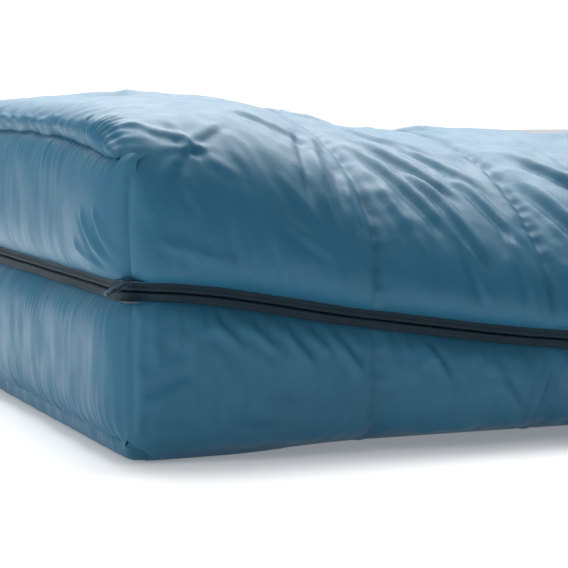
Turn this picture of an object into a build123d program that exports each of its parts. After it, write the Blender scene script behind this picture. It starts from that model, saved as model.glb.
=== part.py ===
"""Camp quilt: a padded top cover zipped to a padded base round the near side and the foot.

Millimetres. +X runs from the foot to the head, +Y from the zipped side to the sewn side, +Z up.
The origin is the centre of the underside. Soft layers are plain solids at their real size.
"""
from math import cos, radians
import os

from build123d import *

# Driving dimensions
LENGTH = 1965.0
WIDTH = 800.0
FOOT_HEIGHT = 340.0          # crest of the boxed foot
BODY_HEIGHT = 306.0          # crest where the foot box ends
HEAD_HEIGHT = 262.0          # crest at the open head end
ZIP_AT_FOOT = 165.0          # height of the zip across the foot
ZIP_AT_BODY = 97.0           # height of the zip along the straight run
STRAIGHT_FROM = 560.0        # distance from the foot where the zip becomes straight
FOLD_AT_FOOT = 165.0         # height of the sewn side's fold line at the foot
FOLD_AT_HEAD = 120.0         # and at the head
CORNER_RADIUS = 45.0         # plan radius of the two foot corners
SHOULDER_RADIUS = 44.0       # rounding of the top edges
HEM_RADIUS = 20.0            # rounding of the bottom edges
CLEARANCE = 0.3              # air between neighbouring layers

FABRIC = 0.8                 # one layer of shell or liner with its seam allowances
TAPE = 0.6
TAPE_HALF_WIDTH = 16.0
LOFT = 27.0                  # quilted filling
BAND = 18.0                  # strip of zip that shows between the shell edges
TAPE_SPLIT = 0.7             # half of the gap between the two tapes
COIL_DEPTH = 2.2
COIL_HALF_WIDTH = 3.6
STRIP_HEIGHT = 14.0
BINDING = 8.0                # rolled hem at the head
TOP_SEAM = 290.0             # height of the seam between the cover and the foot panel
HEM_TURNUP = 22.0            # shell fabric folded up under the bottom of the foot panel

TUBE_DEPTH = 27.0            # draft tube behind the zip
TUBE_GAP = 5.0               # air between the tube and the lining, for the cover's swing
TUBE_DROP = 16.0
TUBE_RISE = 20.0
TUBE_ROUND = 9.0
TUBE_INTO_CORNER = 16.0      # the side tube starts clear of the rounded foot corner

SLIDER_LENGTH = 14.0
SLIDER_HALF_HEIGHT = 7.5
PLATE = 1.6
PULL_LENGTH = 30.0
PULL_WIDTH = 8.0
PULL_THICKNESS = 1.6
PIVOT_RADIUS = 1.0

LOOP_LENGTH = 32.0
LOOP_WIDTH = 8.0
LOOP_GAP = 3.4
LOOP_DROOP = 35.0

TAB_WIDTH = 26.0
TAB_HEIGHT = 56.0
TAB_BELOW = 20.0             # how far the tab starts under the zip
PATCH = 20.0

# Places that follow from them
FOOT = -LENGTH / 2
HEAD = LENGTH / 2
NEAR = -WIDTH / 2
FAR = WIDTH / 2
TAPE_INSET = FABRIC + CLEARANCE
COIL_INSET = TAPE_INSET + TAPE + 0.2
FILL_INSET = TAPE_INSET + TAPE + CLEARANCE
LINER_INSET = FILL_INSET + LOFT + CLEARANCE
INSIDE = LINER_INSET + FABRIC
ZIP_END = FAR - 54.0         # the foot run of the zip stops short of the far corner
CHANNEL_END = ZIP_END + 8.0
MAIN_SLIDER = HEAD - 40.0    # rest place of the head slider, on X
FOOT_SLIDER = ZIP_END - 12.0  # rest place of the foot slider, on Y
UPPER_CUT = 13.0             # how far the upper tape stops short of each slider
PAST = 60.0                  # how far a cutting shape runs past what it cuts


def zip_line(lift):
    """Side view of the zip height, raised by lift: level at the foot, falling, then straight."""
    start = (FOOT + 8, ZIP_AT_FOOT + lift)
    points = [start, (FOOT + 255, 131 + lift), (FOOT + 440, 106 + lift),
              (FOOT + STRAIGHT_FROM, ZIP_AT_BODY + lift)]
    fall = Spline(*points, tangents=[(1, -0.14), (1, 0)])
    level = Line((FOOT - PAST, ZIP_AT_FOOT + lift), start)
    run = Line(points[-1], (HEAD + PAST, ZIP_AT_BODY + lift))
    return [level, fall, run]


def fold_line(lift):
    """Side view of the straight line along which the cover folds up on the sewn side."""
    slope = (FOLD_AT_HEAD - FOLD_AT_FOOT) / LENGTH
    return [Line((FOOT - PAST, FOLD_AT_FOOT + lift - slope * PAST),
                 (HEAD + PAST, FOLD_AT_HEAD + lift + slope * PAST))]


def crest_line(drop):
    """Side view of the top, lowered by drop: a high foot, a step down, then an even slope."""
    front = (FOOT + 120, FOOT_HEIGHT - drop)
    back = (FOOT + 480, BODY_HEIGHT - drop)
    slope = (HEAD_HEIGHT - BODY_HEIGHT) / (LENGTH - 480)
    return [Line((FOOT - PAST, FOOT_HEIGHT - drop), front),
            Spline(front, back, tangents=[(1, 0), (1, slope)]),
            Line(back, (HEAD + PAST, HEAD_HEIGHT - drop + slope * PAST))]


def side_prism(upper, lower, y_low, y_high):
    """The space between two side-view lines, from y_low to y_high."""
    up_start, up_end = upper[0] @ 0, upper[-1] @ 1
    low_start, low_end = lower[0] @ 0, lower[-1] @ 1
    edges = upper + lower + [Line(up_start, low_start), Line(up_end, low_end)]
    solid = extrude(make_face(edges), amount=y_high - y_low, dir=(0, 0, 1))
    return Pos(0, y_high, 0) * Rot(90, 0, 0) * solid


def level_line(height):
    return [Line((FOOT - PAST, height), (HEAD + PAST, height))]


def block_box(x_low, x_high, y_low, y_high, z_low, z_high):
    """A box by its six limits."""
    size = (x_high - x_low, y_high - y_low, z_high - z_low)
    centre = ((x_low + x_high) / 2, (y_low + y_high) / 2, (z_low + z_high) / 2)
    return Pos(*centre) * Box(*size)


def quilt_block(inset):
    """The closed outer shape of the quilt with every face moved inwards, open-ended at the head."""
    tall = side_prism(crest_line(inset), level_line(inset), NEAR + inset, FAR - inset)
    tall = tall & block_box(FOOT + inset, HEAD + PAST / 2, NEAR, FAR, -PAST, FOOT_HEIGHT + PAST)
    upright = tall.edges().filter_by(Axis.Z).sort_by(Axis.X)[:2]
    tall = fillet(upright, CORNER_RADIUS - inset)
    at_top = [e for e in tall.edges() if e.center().Z > HEAD_HEIGHT - inset - 20
              and e.center().X < HEAD + 1 and not is_seam_line(e, inset)]
    tall = fillet(at_top, SHOULDER_RADIUS - inset)
    if inset < HEM_RADIUS - 1:
        low = [e for e in tall.edges() if abs(e.center().Z - inset) < 0.01
               and e.center().X < HEAD + PAST / 2 - 1]
        tall = fillet(low, HEM_RADIUS - inset)
    return tall.solid()


def is_seam_line(edge, inset):
    """True for a top edge that crosses the quilt away from its rim."""
    box = edge.bounding_box()
    crosses = box.size.Y > WIDTH / 2
    return crosses and edge.center().X > FOOT + inset + 1


def layer(outer_inset, thickness):
    """One even layer of the quilt's wall, cut flush at the head."""
    hollow = quilt_block(outer_inset) - quilt_block(outer_inset + thickness)
    return hollow & block_box(FOOT - PAST, HEAD, NEAR - 1, FAR + 1, -PAST, FOOT_HEIGHT + PAST)


def above(lift):
    """All that belongs to the cover: above the zip on the near half, above the fold beyond."""
    top = level_line(FOOT_HEIGHT + PAST)
    return (side_prism(top, zip_line(lift), NEAR - PAST, 0)
            + side_prism(top, fold_line(lift), 0, FAR + PAST))


def below(lift):
    """All that belongs to the base."""
    floor = level_line(-PAST)
    return (side_prism(zip_line(lift), floor, NEAR - PAST, 0)
            + side_prism(fold_line(lift), floor, 0, FAR + PAST))


def zip_zone(depth):
    """Plan area of the two zipped sides, as deep as depth, full height."""
    tall = (-PAST, FOOT_HEIGHT + PAST)
    side = block_box(FOOT - PAST, HEAD + PAST, NEAR - PAST, NEAR + depth, *tall)
    foot = block_box(FOOT - PAST, FOOT + depth, NEAR - PAST, CHANNEL_END, *tall)
    return side + foot


def zip_band(half):
    """The strip within half of the zip line, all over the plan."""
    return side_prism(zip_line(half), zip_line(-half), NEAR - PAST, FAR + PAST)


def foot_wedge(grow):
    """Plan area of the foot panel, mitred at both corners, larger by grow."""
    deep = 75.0 + grow
    side = 1.5 * grow
    outline = Polyline((FOOT - 5, NEAR - 5 - side), (FOOT + deep, NEAR + deep - side),
                       (FOOT + deep, FAR - deep + side), (FOOT - 5, FAR + 5 + side), close=True)
    return extrude(make_face(outline), amount=FOOT_HEIGHT + 2 * PAST, dir=(0, 0, 1))


def slab(z_low, z_high):
    return block_box(FOOT - PAST, HEAD + PAST, NEAR - PAST, FAR + PAST, z_low, z_high)


def split_layer(whole, name):
    """Splits a layer into cover, base, upper foot panel and lower foot panel."""
    gap = CLEARANCE / 2
    band = zip_band(BAND / 2) & zip_zone(INSIDE + 5)
    upper = (whole & above(gap)) - band
    lower = (whole & below(-gap)) - band
    top_seam = TOP_SEAM
    bottom_seam = HEM_TURNUP
    wedge = foot_wedge(0)
    foot_up = upper & wedge & slab(0, top_seam)
    foot_low = lower & wedge & slab(bottom_seam, FOOT_HEIGHT)
    # The neighbours stop a little short, so that no two layers share a face.
    wide = foot_wedge(CLEARANCE)
    cover = upper - (wide & slab(0, top_seam + CLEARANCE))
    base = lower - (wide & slab(bottom_seam - CLEARANCE, FOOT_HEIGHT))
    return {"cover_" + name: cover, "base_" + name: base,
            "foot_upper_" + name: foot_up, "foot_lower_" + name: foot_low}


def ring(inset, thickness):
    """An upright wall that follows the near side and the foot, as thin as thickness."""
    def outline(step):
        """The plan outline, moved in by step, with rounded foot corners."""
        wide = Pos((FOOT + step + HEAD + PAST) / 2, 0, 0) * Box(
            HEAD + PAST - FOOT - step, WIDTH - 2 * step, 2 * FOOT_HEIGHT)
        corners = wide.edges().filter_by(Axis.Z).sort_by(Axis.X)[:2]
        return fillet(corners, CORNER_RADIUS - step)
    return (outline(inset) - outline(inset + thickness)) & zip_zone(CORNER_RADIUS + 5)


def zip_parts():
    """The two tapes and the two coils, each following the near side and the foot."""
    tape_wall = ring(TAPE_INSET, TAPE)
    coil_wall = ring(COIL_INSET, COIL_DEPTH)
    head_cut = block_box(FOOT - PAST, HEAD - 3, NEAR - PAST, FAR, -PAST, FOOT_HEIGHT + PAST)
    upper_reach = block_box(FOOT - PAST, MAIN_SLIDER - UPPER_CUT, NEAR - PAST,
                            FOOT_SLIDER - UPPER_CUT, -PAST, FOOT_HEIGHT + PAST)
    stop_reach = block_box(FOOT - PAST, MAIN_SLIDER + SLIDER_LENGTH / 2 + 2, NEAR - PAST,
                           ZIP_END - 1, -PAST, FOOT_HEIGHT + PAST)

    def strip(low, high):
        return side_prism(zip_line(high), zip_line(low), NEAR - PAST, FAR + PAST)

    return {
        "upper_zip_tape": tape_wall & strip(TAPE_SPLIT, TAPE_HALF_WIDTH) & upper_reach,
        "lower_zip_tape": tape_wall & strip(-TAPE_HALF_WIDTH, -TAPE_SPLIT) & head_cut,
        "upper_zip_coil": coil_wall & strip(TAPE_SPLIT, COIL_HALF_WIDTH) & upper_reach,
        "lower_zip_coil": coil_wall & strip(-COIL_HALF_WIDTH, -TAPE_SPLIT) & stop_reach,
    }


def zip_end_pieces():
    """Top stops, the retainer box and the insertion pin, clamped on the coils' ends."""
    y_low = NEAR + COIL_INSET
    stop_x = MAIN_SLIDER + SLIDER_LENGTH / 2 + 3
    upper_x = MAIN_SLIDER - UPPER_CUT + 0.4
    lower_stop = block_box(stop_x, stop_x + 4, y_low, y_low + COIL_DEPTH,
                           ZIP_AT_BODY - 4.2, ZIP_AT_BODY - TAPE_SPLIT)
    upper_stop = block_box(upper_x, upper_x + 3, y_low, y_low + COIL_DEPTH,
                           ZIP_AT_BODY + TAPE_SPLIT, ZIP_AT_BODY + 4.2)
    x_low = FOOT + COIL_INSET
    box = block_box(x_low, x_low + 3, ZIP_END - 0.7, ZIP_END + 5.3,
                    ZIP_AT_FOOT - 5, ZIP_AT_FOOT - TAPE_SPLIT)
    pin_y = FOOT_SLIDER - UPPER_CUT + 0.4
    pin = block_box(x_low, x_low + COIL_DEPTH, pin_y, pin_y + 4,
                    ZIP_AT_FOOT + TAPE_SPLIT, ZIP_AT_FOOT + 4)
    rounded = {}
    for name, piece in {"lower_top_stop": lower_stop, "upper_top_stop": upper_stop,
                        "zip_retainer_box": box, "zip_insertion_pin": pin}.items():
        rounded[name] = fillet(piece.edges(), 0.5)
    return rounded


def snag_strip():
    """Stiff ribbon sewn on the liner just under the zip's straight run."""
    inset = INSIDE + CLEARANCE
    return block_box(FOOT + STRAIGHT_FROM, HEAD - 10, NEAR + inset, NEAR + inset + TAPE,
                     ZIP_AT_BODY - BAND / 2 - STRIP_HEIGHT - 1, ZIP_AT_BODY - BAND / 2 - 1)


def draft_tube():
    """The padded tube inside the cover that closes the gap behind the zip."""
    start = INSIDE + TUBE_GAP

    def tube(shrink):
        low, high = start + shrink, start + TUBE_DEPTH - shrink
        side = side_prism(zip_line(TUBE_RISE - shrink), zip_line(-TUBE_DROP + shrink),
                          NEAR + low, NEAR + high)
        side = side & block_box(FOOT + start + TUBE_INTO_CORNER + shrink, HEAD - 16 - shrink,
                                NEAR, FAR, 0, FOOT_HEIGHT)
        foot = block_box(FOOT + low, FOOT + high, NEAR + start + TUBE_DEPTH + 2 + shrink,
                         FAR - 84 - shrink, ZIP_AT_FOOT - TUBE_DROP + shrink,
                         ZIP_AT_FOOT + TUBE_RISE - shrink)
        long_way = foot.edges().filter_by(Axis.Y)
        return side, fillet(long_way, TUBE_ROUND - shrink)

    side_out, foot_out = tube(0)
    side_in, foot_in = tube(FABRIC)
    side_fill, foot_fill = tube(FABRIC + CLEARANCE)
    return {"draft_tube_cover": [side_out - side_in, foot_out - foot_in],
            "draft_tube_filling": [side_fill, foot_fill]}


def head_bindings():
    """The rolled hems that close the cover's and the base's raw edges at the head."""
    start = HEAD + CLEARANCE
    rim = (quilt_block(0) - quilt_block(INSIDE)) & block_box(
        start, start + BINDING, NEAR - 1, FAR + 1, -PAST, FOOT_HEIGHT + PAST)
    gap = zip_band(BAND / 2) & zip_zone(INSIDE + 5)
    return {"cover_head_binding": (rim & above(CLEARANCE)) - gap,
            "base_head_binding": (rim & below(-CLEARANCE)) - gap}


def far_seam():
    """Ribbon over the sewn side, on the base just under the line where the cover folds."""
    strip = side_prism(fold_line(-1), fold_line(-14), FAR + CLEARANCE, FAR + CLEARANCE + TAPE)
    return strip & block_box(FOOT + CORNER_RADIUS + 5, HEAD - 2, FAR, FAR + 2, 0, FOOT_HEIGHT)


def slider(open_side, pull_side):
    """A coil slider whose chain runs along X and whose outside faces -Y, centred on the chain.

    open_side is +1 if the open end faces +X, pull_side is +1 if the pull lies towards +X.
    Returns the body, the bridge and the pull.
    """
    half_x, half_z = SLIDER_LENGTH / 2, SLIDER_HALF_HEIGHT
    front = -(PLATE + CLEARANCE)           # outer plate's outside, measured from the shell
    outer_y = (front, front + PLATE)
    inner_y = (COIL_INSET + COIL_DEPTH + CLEARANCE, COIL_INSET + COIL_DEPTH + CLEARANCE + PLATE)

    def plate(y_low, y_high):
        outline = Polyline((-half_x, -half_z + 2), (-half_x, half_z - 2), (0, half_z),
                           (half_x, half_z - 1.2), (half_x, -half_z + 1.2), (0, -half_z),
                           close=True)
        solid = extrude(make_face(outline), amount=y_high - y_low, dir=(0, 0, 1))
        solid = Pos(0, y_high, 0) * Rot(90, 0, 0) * solid
        return fillet(solid.edges().filter_by(Axis.Y), 1.2)

    outer, inner = plate(*outer_y), plate(*inner_y)
    flanges = []
    for side in (-1, 1):
        z_low, z_high = sorted((side * (half_z - 1.4), side * (half_z - 2.4)))
        flanges.append(block_box(-half_x + 1.4, half_x - 1.4, TAPE_INSET + TAPE + 0.25,
                                 inner_y[0] + 0.2, z_low, z_high))
    post_x = open_side * (half_x - 3.2)
    post = block_box(post_x - 1.8, post_x + 1.8, outer_y[1] - 0.2, inner_y[0] + 0.2, -0.45, 0.45)
    body = outer + inner + flanges[0] + flanges[1] + post

    bridge_y = front - CLEARANCE / 3
    legs = []
    for end in (-1, 1):
        x = end * 4.2
        legs.append(block_box(x - 0.9, x + 0.9, bridge_y - 3.2, bridge_y, -1.6, 1.6))
    arch = block_box(-5.1, 5.1, bridge_y - 4.4, bridge_y - 3.2, -1.6, 1.6)
    bridge = arch + legs[0] + legs[1]
    bridge = fillet(bridge.edges().filter_by(Axis.Z).sort_by(Axis.Y)[:2], 0.9)

    # The pull turns on a pin inside the bridge and lies along the chain at rest.
    eye_y = bridge_y - 1.75
    pin = Pos(0, eye_y, 0) * Cylinder(PIVOT_RADIUS, 2 * 2.9)
    ears = []
    for side in (-1, 1):
        ear = block_box(-1.2, 7.2, eye_y - 1.1, eye_y + 1.1, *sorted((side * 2.0, side * 3.2)))
        ears.append(ear)
    leaf = block_box(6.4, 6.4 + PULL_LENGTH, eye_y - PULL_THICKNESS / 2,
                     eye_y + PULL_THICKNESS / 2, -PULL_WIDTH / 2, PULL_WIDTH / 2)
    leaf = fillet(leaf.edges().filter_by(Axis.Y), 2.4)
    pull = pin + ears[0] + ears[1] + leaf
    if pull_side < 0:
        pull = Rot(0, 0, 180) * Pos(0, -eye_y, 0) * pull
        pull = Pos(0, eye_y, 0) * pull
    return body, bridge, pull


def place_on_near_side(shape):
    return Pos(MAIN_SLIDER, NEAR, ZIP_AT_BODY) * shape


def place_on_foot(shape):
    """Turns a slider so that its chain runs along Y and its outside faces -X."""
    return Pos(FOOT, FOOT_SLIDER, ZIP_AT_FOOT) * Rot(0, 0, -90) * shape


def hang_loop(side):
    """A folded ribbon sewn in a foot corner's seam. side is -1 for the near corner."""
    outer = SlotOverall(LOOP_LENGTH, LOOP_GAP + 2 * FABRIC)
    inner = SlotOverall(LOOP_LENGTH - 2 * FABRIC, LOOP_GAP)
    flat = extrude(outer - inner, amount=LOOP_WIDTH / 2, both=True)
    upright = Rot(90, 0, 0) * flat
    # The root is at the origin and the loop points along -X, then droops.
    pointed = Rot(0, -LOOP_DROOP, 0) * (Pos(-LOOP_LENGTH / 2, 0, 0) * upright)
    root = loop_root(side)
    return Pos(*root) * pointed


def loop_root(side):
    reach = CORNER_RADIUS * (1 - cos(radians(45)))
    return (FOOT + reach - 3.0, side * (WIDTH / 2 - reach + 3.0),
            ZIP_AT_FOOT + BAND / 2 + 5.0)


def closure_tab():
    """Fabric tab that crosses the head end of the zip, with its hook patch and the loop patch."""
    x = HEAD - 16
    skin = NEAR - 0.7
    low = ZIP_AT_BODY - TAB_BELOW
    tab = block_box(x - TAB_WIDTH / 2, x + TAB_WIDTH / 2, skin - 3.4, skin - 2.4,
                    low, low + TAB_HEIGHT)
    tab = fillet(tab.edges().filter_by(Axis.Y), 5.0)
    middle = low + TAB_HEIGHT - PATCH / 2 - 3
    hook = block_box(x - PATCH / 2, x + PATCH / 2, skin - 2.1, skin - 1.3,
                     middle - PATCH / 2, middle + PATCH / 2)
    loop = block_box(x - PATCH / 2, x + PATCH / 2, skin - 0.6, skin + 0.4,
                     middle - PATCH / 2, middle + PATCH / 2)
    return {"zip_closure_tab": tab, "tab_hook_patch": hook, "tab_loop_patch": loop}


def build():
    nodes = {}
    nodes.update(split_layer(layer(0, FABRIC), "outer_shell"))
    nodes.update(split_layer(layer(FILL_INSET, LOFT), "insulation"))
    nodes.update(split_layer(layer(LINER_INSET, FABRIC), "liner"))
    nodes.update(zip_parts())
    nodes.update(zip_end_pieces())
    nodes["anti_snag_strip"] = snag_strip()
    nodes.update(draft_tube())
    nodes.update(head_bindings())
    nodes["far_side_seam"] = far_seam()
    body, bridge, pull = slider(open_side=1, pull_side=-1)
    nodes["main_slider_body"] = place_on_near_side(body)
    nodes["main_slider_bridge"] = place_on_near_side(bridge)
    nodes["main_pull_tab"] = place_on_near_side(pull)
    body, bridge, pull = slider(open_side=-1, pull_side=1)
    nodes["foot_slider_body"] = place_on_foot(body)
    nodes["foot_slider_bridge"] = place_on_foot(bridge)
    nodes["foot_pull_tab"] = place_on_foot(pull)
    nodes["near_foot_loop"] = hang_loop(-1)
    nodes["far_foot_loop"] = hang_loop(1)
    nodes.update(closure_tab())
    return nodes


def write(nodes):
    os.makedirs("parts", exist_ok=True)
    for name, shape in nodes.items():
        solids = []
        for piece in shape if isinstance(shape, list) else [shape]:
            solids += piece.solids()
        export_step(Compound(children=solids) if len(solids) > 1 else solids[0],
                    f"parts/{name}.step")
        print(name, len(solids), round(sum(s.volume for s in solids) / 1000, 2), "cm3")


write(build())
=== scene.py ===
import bpy
import numpy as np
from bpy.props import FloatProperty, FloatVectorProperty, PointerProperty
from bpy.types import Operator, Panel, PropertyGroup
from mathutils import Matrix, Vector


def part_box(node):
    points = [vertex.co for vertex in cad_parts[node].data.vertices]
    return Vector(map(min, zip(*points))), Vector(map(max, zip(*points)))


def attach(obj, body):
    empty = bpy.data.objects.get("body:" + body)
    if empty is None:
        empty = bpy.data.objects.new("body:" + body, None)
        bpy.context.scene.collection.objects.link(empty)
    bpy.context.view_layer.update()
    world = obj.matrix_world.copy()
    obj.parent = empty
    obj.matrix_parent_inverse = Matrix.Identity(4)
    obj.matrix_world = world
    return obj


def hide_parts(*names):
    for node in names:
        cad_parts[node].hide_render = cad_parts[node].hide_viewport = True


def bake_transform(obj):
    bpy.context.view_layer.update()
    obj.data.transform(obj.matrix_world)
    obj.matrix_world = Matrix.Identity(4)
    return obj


bl_info = {
    "name": "Camp quilt",
    "version": (1, 0, 0),
    "blender": (4, 5, 0),
    "location": "3D View > Sidebar > Quilt",
    "description": "Padded cover and base, zip, linings and trim of a camp quilt round its fixed frame",
    "category": "Object",
}

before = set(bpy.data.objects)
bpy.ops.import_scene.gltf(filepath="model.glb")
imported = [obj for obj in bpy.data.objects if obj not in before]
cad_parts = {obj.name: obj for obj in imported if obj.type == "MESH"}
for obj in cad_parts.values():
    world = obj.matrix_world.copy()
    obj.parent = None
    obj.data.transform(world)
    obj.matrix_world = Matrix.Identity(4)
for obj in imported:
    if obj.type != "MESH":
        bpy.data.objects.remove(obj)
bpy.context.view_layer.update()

SHELL_LOW, SHELL_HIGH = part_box("base_outer_shell")
FOOT = SHELL_LOW.x
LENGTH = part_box("cover_outer_shell")[1].x - FOOT
HALF = SHELL_HIGH.y
BINDING_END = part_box("cover_head_binding")[1].x - FOOT

# Distances from the foot, with the height of the zip, the crown and the arch's roundness there
ZIP_KEYS = ((0.0, 0.165), (0.01, 0.165), (0.255, 0.131), (0.44, 0.106), (0.56, 0.097),
            (0.7, 0.097), (1.98, 0.097))
CROWN_KEYS = ((-0.05, 0.328), (0.0, 0.331), (0.03, 0.338), (0.07, 0.338), (0.13, 0.339),
              (0.255, 0.325), (0.34, 0.304), (0.48, 0.299), (0.65, 0.292), (1.0, 0.279),
              (1.98, 0.248))
ROUND_KEYS = ((0.0, 6.0), (0.03, 5.2), (0.07, 4.3), (0.13, 3.5), (0.255, 2.4), (0.34, 2.15),
              (0.48, 2.0), (1.98, 2.0))
HEM_KEYS = ((0.0, 0.020), (0.1, 0.030), (0.25, 0.050), (0.45, 0.066), (1.98, 0.068))
FOLD_KEYS = ((-0.05, 0.165), (0.0, 0.165), (1.98, 0.1197))
QUILT_LINES = (0.0, 0.255, 0.445, 0.635, 0.825, 1.015, 1.205, 1.395, 1.585, 1.775, 1.965)
BAND_HALF = 0.0098
CORNER = 0.045
TOP_SEAM = 0.289
BOTTOM_SEAM = 0.023
ZIP_AT_FOOT = 0.165
STAND_IN = 0.0085
LINING_DEPTH = 0.0305
TUBE_DEEP = 0.0125
TUBE_TALL = 0.0165
ZIP_SHORT_OF_FAR = 0.047
FOLD_HALF_WIDTH = 0.013
FOLD_RUN_AT_FOOT = 0.014

# Camera: aim from the foot's near corner, distance, turn, rise and lens in millimetres
AIM_IN = 0.160
AIM_HEIGHT = 0.169
CAMERA_AWAY = 2.2
CAMERA_TURN = -20.0
CAMERA_RISE = 5.0
CAMERA_LENS = 144.8239


def keyed(x, keys):
    """Smooth curve through the keys: cubic Hermite with slopes from the neighbours."""
    kx = np.array([k[0] for k in keys])
    ky = np.array([k[1] for k in keys])
    slope = np.gradient(ky, kx)
    flat = np.concatenate(([False], np.diff(ky) == 0))
    slope[flat | np.roll(flat, -1)] = 0.0
    x = np.clip(x, kx[0], kx[-1])
    i = np.clip(np.searchsorted(kx, x, side="right") - 1, 0, len(kx) - 2)
    h = kx[i + 1] - kx[i]
    t = (x - kx[i]) / h
    return ((2 * t**3 - 3 * t**2 + 1) * ky[i] + (t**3 - 2 * t**2 + t) * h * slope[i]
            + (3 * t**2 - 2 * t**3) * ky[i + 1] + (t**3 - t**2) * h * slope[i + 1])


def ease(t):
    """Smoothstep: 3 t^2 - 2 t^3 with t held between 0 and 1."""
    t = np.clip(t, 0.0, 1.0)
    return t * t * (3 - 2 * t)


def spacing(*runs):
    """Grid positions from runs of (start, end, step), without repeated ends."""
    parts = [np.linspace(a, b, max(2, int(round((b - a) / step)) + 1))[:-1] for a, b, step in runs]
    return np.concatenate(parts + [np.array([runs[-1][1]])])


def value_noise(u, v, cell, seed):
    """Smooth random field: random values on a square lattice, blended with smoothstep."""
    rng = np.random.default_rng(seed)
    table = rng.uniform(-1, 1, (256, 256))
    a, b = u / cell + 40.0, v / cell + 40.0
    i, j = np.floor(a).astype(int), np.floor(b).astype(int)
    s, t = ease(a - i), ease(b - j)
    i, j = i % 255, j % 255
    return ((table[i, j] * (1 - s) + table[i + 1, j] * s) * (1 - t)
            + (table[i, j + 1] * (1 - s) + table[i + 1, j + 1] * s) * t)


def gathers(along, away, seed, pitch, reach):
    """Puckers that fade with distance from a seam: a wave of wandering phase across the seam."""
    rng = np.random.default_rng(seed)
    wander = value_noise(along, 0 * along, 4.0 * pitch, seed) * 2.6
    lean = away * rng.uniform(-0.25, 0.25) / pitch
    size = 0.55 + 0.45 * value_noise(along, away, 6 * pitch, seed + 1)
    wave = np.sin(2 * np.pi * (along / pitch + lean) + 2 * wander)
    reach = reach * (0.75 + 0.5 * value_noise(along, 0 * along, 3 * pitch, seed + 2))
    return wave * size * np.exp(-(away / reach) ** 1.3)


def fold_lines(u, w, folds):
    """Drag folds: along each line from a to b a soft ridge with a sharper valley beside it."""
    out = np.zeros_like(u)
    for ax, aw, bx, bw, wide, high in folds:
        du, dw = bx - ax, bw - aw
        size = np.hypot(du, dw)
        t = ((u - ax) * du + (w - aw) * dw) / size**2
        side = ((u - ax) * dw - (w - aw) * du) / size
        side = side + 0.12 * size * (t - 0.5) ** 2
        ends = ease(t / 0.3) * ease((1 - t) / 0.3) * ((t > 0) & (t < 1))
        out += high * ends * (np.exp(-(side / wide) ** 2)
                              - 0.9 * np.exp(-((side - 1.25 * wide) / (0.6 * wide)) ** 2))
    return out


def puff(u, lines, height, crease=0.009):
    """Chamber swell: height at mid chamber, down to nothing at each quilting line."""
    lines = np.array(lines)
    i = np.clip(np.searchsorted(lines, u, side="right") - 1, 0, len(lines) - 2)
    t = (u - lines[i]) / (lines[i + 1] - lines[i])
    near = np.minimum(np.abs(u - lines[i]), np.abs(lines[i + 1] - u))
    body = 1 - np.abs(2 * np.clip(t, 0, 1) - 1) ** 2.2
    return height * (0.5 * body + 0.5 * (1 - np.exp(-near / crease)))


def grid_normals(p):
    """Unit normals of a grid from central differences along its two directions."""
    du = np.gradient(p, axis=0)
    dv = np.gradient(p, axis=1)
    n = np.cross(du, dv)
    return n / (np.linalg.norm(n, axis=2, keepdims=True) + 1e-12)


def resample(dense, wanted):
    """Each column of dense points, carried to wanted arc lengths given as fractions."""
    step = np.linalg.norm(np.diff(dense, axis=1), axis=2)
    arc = np.concatenate([np.zeros((len(dense), 1)), np.cumsum(step, axis=1)], axis=1)
    out = np.empty((len(dense), wanted.shape[1], 3))
    for k in range(len(dense)):
        at = wanted[k] * arc[k, -1]
        for c in range(3):
            out[k, :, c] = np.interp(at, arc[k], dense[k, :, c])
    return out, arc[:, -1]


def links(p, live, free, first, second, rest, firmness):
    """One pass over links between two sets of grid points: each link is brought to its rest."""
    a, b = p[first], p[second]
    wa, wb = free[first], free[second]
    d = b - a
    size = np.sqrt(np.einsum("ijk,ijk->ij", d, d)) + 1e-9
    both = live[first] & live[second]
    pull = np.where(both, firmness * (size - rest) / size / (wa + wb + 1e-6), 0.0)[..., None] * d
    p[first] = a + wa[..., None] * pull
    p[second] = b - wb[..., None] * pull


def link_sets(nu, nv):
    """The grid's links in groups that share no point: along, across and both diagonals."""
    full = slice(None)
    groups = []
    for start in (0, 1):
        a = slice(start, nu - 1, 2)
        b = slice(start + 1, nu, 2)
        groups.append(("u", (a, full), (b, full)))
        c = slice(start, nv - 1, 2)
        d = slice(start + 1, nv, 2)
        groups.append(("v", (full, c), (full, d)))
        groups.append(("d", (a, slice(0, nv - 1)), (b, slice(1, nv))))
        groups.append(("d", (a, slice(1, nv)), (b, slice(0, nv - 1))))
    return groups


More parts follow.
